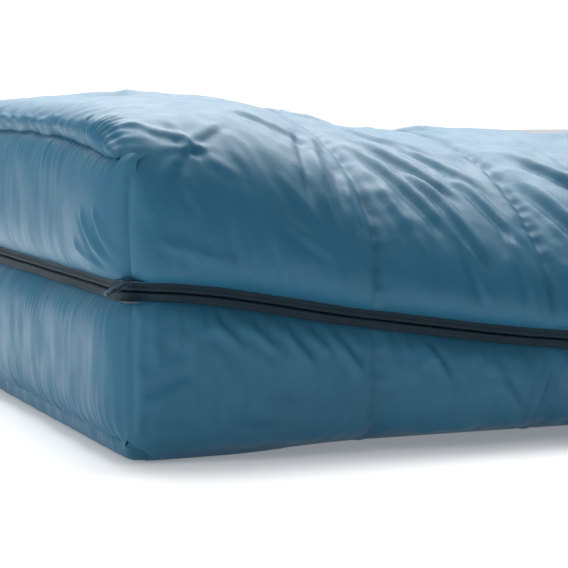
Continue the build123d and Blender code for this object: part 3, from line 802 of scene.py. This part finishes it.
def rib_group():
    """Ribbed tape: cross ribs along its length, a stitched line, painted shade in the middle groove and
    on rib troughs.
    """
    group, begin, end = node_group("Ribbed tape", [
        ("Coordinates", "NodeSocketVector", None), ("Colour", "NodeSocketColor", (0.05, 0.1, 0.14, 1))],
        [("Height", "NodeSocketFloat"), ("Colour", "NodeSocketColor")])
    t = group
    split = t.nodes.new("ShaderNodeSeparateXYZ")
    t.links.new(begin.outputs["Coordinates"], split.inputs[0])
    ribs = maths(t, "SINE", maths(t, "MULTIPLY", split.outputs["X"], 2 * np.pi / 0.0016))
    rows = maths(t, "SINE", maths(t, "MULTIPLY", split.outputs["Y"], 2 * np.pi / 0.0011))
    away = maths(t, "ABSOLUTE", split.outputs["Y"])
    over_coil = maths(t, "LESS_THAN", away, 0.0048)
    strong = maths(t, "ADD", 0.25, maths(t, "MULTIPLY", over_coil, 0.75))
    height = maths(t, "ADD", maths(t, "MULTIPLY", ribs, strong), maths(t, "MULTIPLY", rows, 0.2))
    t.links.new(height, end.inputs["Height"])
    # Painted shade: the middle groove where the two coils meet is darkened in the colour.
    groove = maths(t, "LESS_THAN", away, 0.0011)
    stitched = maths(t, "LESS_THAN", maths(t, "ABSOLUTE", maths(t, "SUBTRACT", away, 0.0054)), 0.0004)
    dull = noise(t, begin.outputs["Coordinates"], 60.0, 3.0)
    bright = maths(t, "ADD", 0.72, maths(t, "MULTIPLY", dull, 0.45))
    # Painted shade: the ribs' crests are made lighter and their troughs darker in the colour.
    bright = maths(t, "ADD", bright, maths(t, "MULTIPLY", ribs, 0.10))
    bright = maths(t, "SUBTRACT", bright, maths(t, "MULTIPLY", groove, 0.55))
    bright = maths(t, "SUBTRACT", bright, maths(t, "MULTIPLY", stitched, 0.25))
    tint = t.nodes.new("ShaderNodeHueSaturation")
    t.links.new(begin.outputs["Colour"], tint.inputs["Color"])
    t.links.new(bright, tint.inputs["Value"])
    t.links.new(tint.outputs["Color"], end.inputs["Colour"])
    return group


def plain_material(name, rough, sheen=0.0, metallic=0.0, specular=0.5):
    """A material with a Principled shader and nothing linked yet."""
    material = bpy.data.materials.new(name)
    material.use_nodes = True
    shader = material.node_tree.nodes["Principled BSDF"]
    shader.inputs["Roughness"].default_value = rough
    shader.inputs["Metallic"].default_value = metallic
    shader.inputs["Sheen Weight"].default_value = sheen
    shader.inputs["Sheen Roughness"].default_value = 0.4
    shader.inputs["Specular IOR Level"].default_value = specular
    return material, material.node_tree, shader


def cloth_material(name, colour, threads, crinkle, rough, sheen, bump, on_uv=True, specular=0.5):
    """Woven cloth: colour, roughness and bump from the shared weave."""
    if name in bpy.data.materials:
        return bpy.data.materials[name]
    material, tree, shader = plain_material(name, rough, sheen, 0.0, specular)
    where = tree.nodes.new("ShaderNodeTexCoord")
    weave = tree.nodes.new("ShaderNodeGroup")
    weave.node_tree = bpy.data.node_groups.get("Woven cloth") or weave_group()
    weave.inputs["Threads per metre"].default_value = threads
    weave.inputs["Crinkle"].default_value = crinkle
    weave.inputs["Colour"].default_value = (*colour, 1)
    tree.links.new(where.outputs["UV" if on_uv else "Object"], weave.inputs["Coordinates"])
    tree.links.new(weave.outputs["Colour"], shader.inputs["Base Color"])
    spread = maths(tree, "MULTIPLY", maths(tree, "SUBTRACT", weave.outputs["Worn"], 0.5), 0.22)
    tree.links.new(maths(tree, "ADD", spread, rough), shader.inputs["Roughness"])
    relief = tree.nodes.new("ShaderNodeBump")
    relief.inputs["Strength"].default_value = bump
    relief.inputs["Distance"].default_value = 0.0012
    tree.links.new(weave.outputs["Height"], relief.inputs["Height"])
    tree.links.new(relief.outputs["Normal"], shader.inputs["Normal"])
    return material


def tape_material(colour):
    """Zip tape: tight ribs, with painted shade for the groove where the two coils meet."""
    if "Zip tape" in bpy.data.materials:
        return bpy.data.materials["Zip tape"]
    material, tree, shader = plain_material("Zip tape", 0.66, 0.0, 0.0, 0.3)
    where = tree.nodes.new("ShaderNodeTexCoord")
    ribs = tree.nodes.new("ShaderNodeGroup")
    ribs.node_tree = rib_group()
    ribs.inputs["Colour"].default_value = (*colour, 1)
    tree.links.new(where.outputs["UV"], ribs.inputs["Coordinates"])
    tree.links.new(ribs.outputs["Colour"], shader.inputs["Base Color"])
    relief = tree.nodes.new("ShaderNodeBump")
    relief.inputs["Strength"].default_value = 0.6
    relief.inputs["Distance"].default_value = 0.0004
    tree.links.new(ribs.outputs["Height"], relief.inputs["Height"])
    tree.links.new(relief.outputs["Normal"], shader.inputs["Normal"])
    return material


def hard_material(name, colour, rough, metallic):
    """Moulded or coated hard part: fine grain in its colour, roughness and bump."""
    if name in bpy.data.materials:
        return bpy.data.materials[name]
    material, tree, shader = plain_material(name, rough, 0.0, metallic)
    where = tree.nodes.new("ShaderNodeTexCoord")
    grain = noise(tree, where.outputs["Object"], 900.0, 3.0)
    worn = noise(tree, where.outputs["Object"], 180.0, 4.0)
    tint = tree.nodes.new("ShaderNodeHueSaturation")
    tint.inputs["Color"].default_value = (*colour, 1)
    tree.links.new(maths(tree, "ADD", 0.75, maths(tree, "MULTIPLY", worn, 0.5)), tint.inputs["Value"])
    tree.links.new(tint.outputs["Color"], shader.inputs["Base Color"])
    spread = maths(tree, "MULTIPLY", maths(tree, "SUBTRACT", worn, 0.5), 0.3)
    tree.links.new(maths(tree, "ADD", rough, spread), shader.inputs["Roughness"])
    relief = tree.nodes.new("ShaderNodeBump")
    relief.inputs["Strength"].default_value = 0.25
    relief.inputs["Distance"].default_value = 0.0002
    tree.links.new(grain, relief.inputs["Height"])
    tree.links.new(relief.outputs["Normal"], shader.inputs["Normal"])
    return material


# Settings


class QuiltSizes(PropertyGroup):
    chamber_swell: FloatProperty(name="Chamber swell", default=0.011, unit="LENGTH",
                                 description="How far each quilted chamber stands out")
    cloth_steps: FloatProperty(name="Cloth steps", default=160.0,
                               description="Steps of the cloth simulation")
    stitch_pitch: FloatProperty(name="Stitch pitch", default=0.0032, unit="LENGTH",
                                description="Length of one stitch and its gap")


class QuiltColours(PropertyGroup):
    shell: FloatVectorProperty(name="Shell", subtype="COLOR", size=3, default=(0.021, 0.121, 0.206),
                               description="Outer cloth")
    lining: FloatVectorProperty(name="Lining", subtype="COLOR", size=3, default=(0.10, 0.17, 0.22),
                                description="Inner cloth")
    tape: FloatVectorProperty(name="Zip tape", subtype="COLOR", size=3, default=(0.006, 0.023, 0.038),
                              description="Zip tape")
    hardware: FloatVectorProperty(name="Hardware", subtype="COLOR", size=3,
                                  default=(0.02, 0.025, 0.03), description="Sliders and pulls")


def sizes():
    return bpy.context.scene.quilt_sizes


def colours():
    return bpy.context.scene.quilt_colours


def shell_cloth():
    return cloth_material("Outer cloth", tuple(colours().shell), 5200.0, 0.7, 0.47, 0.0, 0.5,
                          specular=0.28)


def lining_cloth():
    return cloth_material("Lining cloth", tuple(colours().lining), 4000.0, 0.5, 0.6, 0.4, 0.35)


def steps():
    return int(sizes().cloth_steps)


# Operators


class QUILT_OT_cover(Operator):
    """Outer cloth of the cover, quilted across and folded down over the foot"""
    bl_idname = "quilt.cover"
    bl_label = "Cover"

    def execute(self, context):
        p, live, uv = shell_grid(True, steps(), sizes())
        piece = put_grid("cover_shell_cloth", p, live, uv)
        finish_piece(piece, "cover", shell_cloth(),
                     ("cover_outer_shell", "cover_insulation"))
        return {"FINISHED"}


class QUILT_OT_base(Operator):
    """Outer cloth of the base, quilted across and folded up under the foot"""
    bl_idname = "quilt.base"
    bl_label = "Base"

    def execute(self, context):
        p, live, uv = shell_grid(False, steps(), sizes())
        piece = put_grid("base_shell_cloth", p, live, uv, flip=True)
        finish_piece(piece, "base", shell_cloth(),
                     ("base_outer_shell", "base_insulation"))
        return {"FINISHED"}


class QUILT_OT_foot_panels(Operator):
    """The two halves of the foot panel, gathered into their seams"""
    bl_idname = "quilt.foot_panels"
    bl_label = "Foot panels"

    def execute(self, context):
        for upper, body, part in ((True, "cover", "upper"), (False, "base", "lower")):
            p, live, uv = foot_grid(upper, steps())
            piece = put_grid(f"foot_{part}_cloth", p, live, uv, flip=not upper)
            finish_piece(piece, body, shell_cloth(),
                         (f"foot_{part}_outer_shell", f"foot_{part}_insulation"))
        return {"FINISHED"}


class QUILT_OT_linings(Operator):
    """Lining of the cover and of the base, with the facing behind the zip"""
    bl_idname = "quilt.linings"
    bl_label = "Linings"

    def execute(self, context):
        for upper, body, part in ((True, "cover", "upper"), (False, "base", "lower")):
            p, uv = lining_grid(upper)
            piece = put_grid(f"{body}_lining_cloth", p, None, uv, flip=upper)
            finish_piece(piece, body, lining_cloth(),
                         (f"{body}_liner", f"foot_{part}_liner"))
        return {"FINISHED"}


class QUILT_OT_zip(Operator):
    """Zip tapes, wound coils and the stitching beside them"""
    bl_idname = "quilt.zip"
    bl_label = "Zip"

    def execute(self, context):
        tape = tape_material(tuple(colours().tape))
        nylon = hard_material("Zip coil", (0.012, 0.03, 0.045), 0.45, 0.0)
        upper_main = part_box("upper_zip_tape")[1].x - FOOT
        upper_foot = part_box("upper_zip_tape")[1].y
        lower_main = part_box("lower_zip_tape")[1].x - FOOT
        lower_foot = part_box("lower_zip_tape")[1].y
        coil_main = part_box("lower_zip_coil")[1].x - FOOT
        coil_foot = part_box("lower_zip_coil")[1].y
        for side, part, body, main_end, foot_end, c_main, c_foot in (
                (1, "upper", "cover", upper_main, upper_foot, upper_main, upper_foot),
                (-1, "lower", "base", lower_main, lower_foot, coil_main, coil_foot)):
            p, uv = tape_grid(side, main_end, foot_end)
            piece = put_grid(f"{part}_tape_weave", p, None, uv, flip=side < 0)
            finish_piece(piece, body, tape, (f"{part}_zip_tape",))
            wound = coil_mesh(f"{part}_coil_turns", side, c_main, c_foot)
            finish_piece(wound, body, nylon, (f"{part}_zip_coil",))
            s, line, out = zip_route(0.0006, 0.004)
            keep = (line[:, 0] < FOOT + main_end) & ~((s > 1.9) & (line[:, 1] > foot_end))
            points = line[keep] + np.array([0, 0, side * 0.0062])
            row = stitch_row(f"{part}_zip_stitches", s[keep], points, out[keep],
                             sizes().stitch_pitch, -0.0006)
            thread = hard_material("Thread", (0.02, 0.05, 0.08), 0.7, 0.0)
            finish_piece(row, body, thread)
        return {"FINISHED"}


def ribbon_loop(side):
    """Folded ribbon: two legs with rounded ends, 0.9 mm thick, following a narrow slot shape."""
    low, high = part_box("near_foot_loop" if side < 0 else "far_foot_loop")
    root = np.array([high.x - 0.0015, 0.5 * (low.y + high.y), high.z - 0.004])
    tip = np.array([low.x + 0.0015, 0.5 * (low.y + high.y), low.z + 0.004])
    along = (tip - root) / np.linalg.norm(tip - root)
    across = np.array([along[2], 0.0, -along[0]])
    size = np.linalg.norm(tip - root)
    t = np.linspace(0, 2 * np.pi, 73)
    half = 0.0021
    sweep = np.clip(0.5 - 0.62 * np.cos(t), 0, 1)
    gap = np.where(np.sin(t) >= 0, 1.0, -1.0) * half * np.minimum(1, np.abs(np.sin(t)) * 3.2)
    gap = gap * (0.75 + 0.25 * np.sin(np.pi * sweep))
    centre = root + sweep[:, None] * size * along + gap[:, None] * across
    centre[:, 1] += 0.0006 * np.sin(2 * t)
    step = np.gradient(centre, axis=0)
    step /= np.linalg.norm(step, axis=1, keepdims=True) + 1e-9
    normal = np.cross(step, np.array([0, 1.0, 0]))
    ring = np.array([(-1, -1), (-0.6, -1.15), (0.6, -1.15), (1, -1), (1, 1), (0.6, 1.15),
                     (-0.6, 1.15), (-1, 1), (-1, -1)])
    wide, thick = 0.0040, 0.00042
    p = (centre[:, None, :] + wide * ring[None, :, :1] * np.array([0, 1.0, 0])
         + thick * ring[None, :, 1:] * normal[:, None, :])
    s = np.concatenate([[0], np.cumsum(np.linalg.norm(np.diff(centre, axis=0), axis=1))])
    uv = np.stack(np.broadcast_arrays(s[:, None], (wide * ring[:, 0])[None, :]), axis=2)
    return p, uv


def rolled_hem(upper):
    """Rolled hem round one half of the head opening: a padded half round over the raw edges."""
    at = np.linspace(0, 1, 160)
    wall = upper_wall if upper else lower_wall
    u = np.array([LENGTH])
    outer, arc = wall(u, at[None, :], 0.0)
    inner, _ = wall(u, at[None, :], 0.030)
    turn = np.linspace(0, np.pi, 11)
    mid = 0.5 * (outer[0] + inner[0])
    half = 0.5 * (outer[0] - inner[0])
    wave = 1 + 0.10 * value_noise(at * arc[0], 0 * at, 0.02, 91)
    reach = BINDING_END - LENGTH
    p = mid[:, None, :] + 1.02 * np.cos(turn)[None, :, None] * half[:, None, :]
    p[..., 0] = LENGTH - 0.001 + reach * np.sin(turn)[None, :] * wave[:, None]
    p = np.concatenate([p, p[:, :1]], axis=1)
    if not upper:
        p[..., 2] = np.maximum(p[..., 2], 0.001)
    s = at * arc[0]
    uv = np.stack(np.broadcast_arrays(s[:, None], np.append(turn, 4.0)[None, :] * 0.01), axis=2)
    return p + np.array([FOOT, 0, 0]), uv


def padded_tube(side_run):
    """Draft tube: a soft rounded tube along the zip, puckered where it is stitched on."""
    t = np.linspace(0, 2 * np.pi, 33)
    ring_x, ring_z = np.cos(t), np.sin(t)
    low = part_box("draft_tube_cover")[0]
    if side_run:
        s = spacing((0.052, LENGTH - 0.018, 0.008))
        centre = np.stack([s, np.full_like(s, low.y + TUBE_DEEP), keyed(s, ZIP_KEYS) + 0.002], axis=1)
        out = np.array([0, 1.0, 0])
    else:
        s = spacing((low.y + 0.030, HALF - 0.086, 0.008))
        centre = np.stack([np.full_like(s, low.x - FOOT + TUBE_DEEP), s,
                           np.full_like(s, 0.167)], axis=1)
        out = np.array([1.0, 0, 0])
    ends = np.sqrt(np.clip(np.minimum(s - s[0], s[-1] - s) / 0.02, 0.02, 1))
    pucker = 1 + 0.07 * gathers(s, 0 * s, 95, 0.021, 1.0) + 0.05 * value_noise(s, 0 * s, 0.05, 96)
    radius = ends * pucker
    p = (centre[:, None, :] + TUBE_DEEP * radius[:, None, None] * ring_x[None, :, None] * out
         + TUBE_TALL * radius[:, None, None] * ring_z[None, :, None] * np.array([0, 0, 1.0]))
    uv = np.stack(np.broadcast_arrays(s[:, None], t[None, :] * 0.015), axis=2)
    return p + np.array([FOOT, 0, 0]), uv


class QUILT_OT_trim(Operator):
    """Ribbon loops, head hems, draft tube, closure tab, fold strip and grip patches"""
    bl_idname = "quilt.trim"
    bl_label = "Trim"

    def execute(self, context):
        ribbon = cloth_material("Ribbon", (0.009, 0.055, 0.100), 7000.0, 0.25, 0.6, 0.0, 0.4)
        for side, name, body in ((-1, "near", "near_loop"), (1, "far", "far_loop")):
            p, uv = ribbon_loop(side)
            piece = put_grid(f"{name}_ribbon_loop", p, None, uv)
            finish_piece(piece, body, ribbon, (f"{name}_foot_loop",))
        for upper, body in ((True, "cover"), (False, "base")):
            p, uv = rolled_hem(upper)
            piece = put_grid(f"{body}_head_hem", p, None, uv, flip=not upper)
            finish_piece(piece, body, shell_cloth(), (f"{body}_head_binding",))
        for side_run, name in ((True, "draft_tube_side"), (False, "draft_tube_foot")):
            p, uv = padded_tube(side_run)
            piece = put_grid(name, p, None, uv, flip=not side_run)
            finish_piece(piece, "cover", lining_cloth(),
                         ("draft_tube_cover", "draft_tube_filling") if side_run else ())
        self.fold_strip()
        self.frame_cloth()
        return {"FINISHED"}

    def fold_strip(self):
        """Strip of shell cloth over the fold line of the sewn side, bulging a little outwards."""
        start = HALF - CORNER - FOLD_RUN_AT_FOOT
        bend = CORNER * np.pi / 2
        turned = FOLD_RUN_AT_FOOT + bend
        end = LENGTH - CORNER + 0.012 + bend
        d = spacing((0.0, turned, 0.004), (turned, end, 0.012))
        turn = np.clip((d - FOLD_RUN_AT_FOOT) / CORNER, 0, np.pi / 2)
        x = CORNER * (1 - np.cos(turn)) + np.maximum(d - FOLD_RUN_AT_FOOT - bend, 0)
        y = start + np.minimum(d, FOLD_RUN_AT_FOOT) + CORNER * np.sin(turn)
        t = np.linspace(-1, 1, 13)
        bulge = 0.0012 + 0.0058 * (1 - t**2)[None, :] ** 0.8
        bulge = bulge + 0.0005 * gathers(d, 0 * d, 97, 0.02, 1.0)[:, None] * (1 - t**2)[None, :]
        bulge = bulge * (0.35 + 0.65 * ease((d[:, None] - 0.08) / 0.05))
        z = keyed(x, FOLD_KEYS)[:, None] + FOLD_HALF_WIDTH * t[None, :]
        p = np.stack(np.broadcast_arrays(x[:, None] + FOOT - np.cos(turn)[:, None] * bulge,
                                         y[:, None] + np.sin(turn)[:, None] * bulge, z), axis=2)
        uv = np.stack(np.broadcast_arrays(d[:, None], FOLD_HALF_WIDTH * t[None, :]), axis=2)
        piece = put_grid("far_side_fold", p, None, uv, flip=True)
        piece.data.materials.append(shell_cloth())
        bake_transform(piece)
        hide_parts("far_side_seam")

    def frame_cloth(self):
        """Cloth finishes for the small flat pieces that keep their own shape."""
        woven = cloth_material("Stiff tape", (0.03, 0.07, 0.10), 3500.0, 0.3, 0.6, 0.2, 0.4, False)
        pile = cloth_material("Grip pile", (0.02, 0.045, 0.06), 2500.0, 1.6, 0.9, 0.6, 0.9, False)
        tab = cloth_material("Tab cloth", (0.028, 0.12, 0.20), 5200.0, 0.4, 0.42, 0.1, 0.35, False)
        for node, material in (("anti_snag_strip", woven), ("tab_hook_patch", pile),
                               ("tab_loop_patch", pile), ("zip_closure_tab", tab)):
            coat(node, material)


class QUILT_OT_hardware(Operator):
    """Coated sliders, pulls and zip ends"""
    bl_idname = "quilt.hardware"
    bl_label = "Hardware"

    def execute(self, context):
        metal = hard_material("Coated metal", tuple(colours().hardware), 0.35, 0.6)
        for node in ("main_slider_body", "main_slider_bridge", "main_pull_tab", "foot_slider_body",
                     "foot_slider_bridge", "foot_pull_tab", "lower_top_stop", "upper_top_stop",
                     "zip_retainer_box", "zip_insertion_pin"):
            coat(node, metal)
        return {"FINISHED"}


class QUILT_OT_stage(Operator):
    """Pale floor, soft lights and the camera"""
    bl_idname = "quilt.stage"
    bl_label = "Stage"

    def execute(self, context):
        floor = put_grid("studio_floor", np.array([[[-14, -14, 0], [-14, 14, 0]],
                                                   [[14, -14, 0], [14, 14, 0]]], float))
        pale, _, shader = plain_material("Pale floor", 0.9)
        shader.inputs["Base Color"].default_value = (0.86, 0.87, 0.88, 1)
        shader.inputs["Emission Color"].default_value = (1, 1, 1, 1)
        shader.inputs["Emission Strength"].default_value = 0.22
        floor.data.materials.append(pale)
        self.world()
        target = Vector((FOOT + AIM_IN, -HALF, AIM_HEIGHT))
        self.softbox("overhead_softbox", target + Vector((0.6, 1.7, 2.3)), target + Vector((0.3, 0.6, 0)),
                     3.2, 190.0)
        self.softbox("left_softbox", target + Vector((-2.6, -0.5, 0.9)), target, 1.8, 17.0)
        turn, rise = np.radians(CAMERA_TURN), np.radians(CAMERA_RISE)
        back = Vector((np.sin(turn) * np.cos(rise), -np.cos(turn) * np.cos(rise), np.sin(rise)))
        lens = bpy.data.cameras.new("studio_camera")
        lens.lens = CAMERA_LENS
        lens.sensor_width = 36.0
        lens.clip_end = 100.0
        camera = bpy.data.objects.new("studio_camera", lens)
        camera.location = target + CAMERA_AWAY * back
        camera.rotation_euler = back.to_track_quat("Z", "Y").to_euler()
        bpy.context.scene.collection.objects.link(camera)
        bpy.context.scene.camera = camera
        bpy.context.scene.view_settings.view_transform = "Standard"
        return {"FINISHED"}

    def world(self):
        """White world: full behind the quilt, less from above and the left, least from the front."""
        world = bpy.data.worlds.new("Studio")
        world.use_nodes = True
        tree = world.node_tree
        tree.nodes.clear()
        out = tree.nodes.new("ShaderNodeOutputWorld")
        lit = tree.nodes.new("ShaderNodeBackground")
        where = tree.nodes.new("ShaderNodeTexCoord")
        split = tree.nodes.new("ShaderNodeSeparateXYZ")
        tree.links.new(where.outputs["Generated"], split.inputs[0])
        up = maths(tree, "MAXIMUM", split.outputs["Z"], 0.0)
        left = maths(tree, "MAXIMUM", maths(tree, "MULTIPLY", split.outputs["X"], -1.0), 0.0)
        behind = maths(tree, "MAXIMUM", split.outputs["Y"], 0.0)
        right = maths(tree, "MULTIPLY", maths(tree, "ADD", split.outputs["X"], 0.2), 3.4)
        right = maths(tree, "MINIMUM", maths(tree, "MAXIMUM", right, 0.12), 1.0)
        level = maths(tree, "ADD", 0.07, maths(tree, "MULTIPLY", up, 0.40))
        level = maths(tree, "ADD", level, maths(tree, "MULTIPLY", left, 0.42))
        behind = maths(tree, "MULTIPLY", maths(tree, "MULTIPLY", behind, right), 1.5)
        level = maths(tree, "ADD", level, behind)
        tree.links.new(level, lit.inputs["Strength"])
        tree.links.new(lit.outputs[0], out.inputs[0])
        bpy.context.scene.world = world

    def softbox(self, name, place, aim, size, power):
        """A square area light turned towards a point."""
        light = bpy.data.lights.new(name, "AREA")
        light.size = size
        light.energy = power
        lamp = bpy.data.objects.new(name, light)
        lamp.location = place
        lamp.rotation_euler = (place - aim).to_track_quat("Z", "Y").to_euler()
        bpy.context.scene.collection.objects.link(lamp)


class QUILT_PT_panel(Panel):
    """Lists the quilt's pieces and settings"""
    bl_label = "Camp quilt"
    bl_idname = "QUILT_PT_panel"
    bl_space_type = "VIEW_3D"
    bl_region_type = "UI"
    bl_category = "Quilt"

    def draw(self, context):
        for group in (context.scene.quilt_sizes, context.scene.quilt_colours):
            for name in group.__annotations__:
                self.layout.prop(group, name)
        for operator in OPERATORS:
            self.layout.operator(operator.bl_idname)


OPERATORS = (QUILT_OT_cover, QUILT_OT_base, QUILT_OT_foot_panels, QUILT_OT_linings, QUILT_OT_zip,
             QUILT_OT_trim, QUILT_OT_hardware, QUILT_OT_stage)
CLASSES = (QuiltSizes, QuiltColours) + OPERATORS + (QUILT_PT_panel,)


def register():
    for item in CLASSES:
        bpy.utils.register_class(item)
    bpy.types.Scene.quilt_sizes = PointerProperty(type=QuiltSizes)
    bpy.types.Scene.quilt_colours = PointerProperty(type=QuiltColours)


def unregister():
    del bpy.types.Scene.quilt_colours
    del bpy.types.Scene.quilt_sizes
    for item in reversed(CLASSES):
        bpy.utils.unregister_class(item)


def main():
    register()
    bpy.ops.quilt.cover()
    bpy.ops.quilt.base()
    bpy.ops.quilt.foot_panels()
    bpy.ops.quilt.linings()
    bpy.ops.quilt.zip()
    bpy.ops.quilt.trim()
    bpy.ops.quilt.hardware()
    bpy.ops.quilt.stage()


if __name__ == "__main__":
    main()
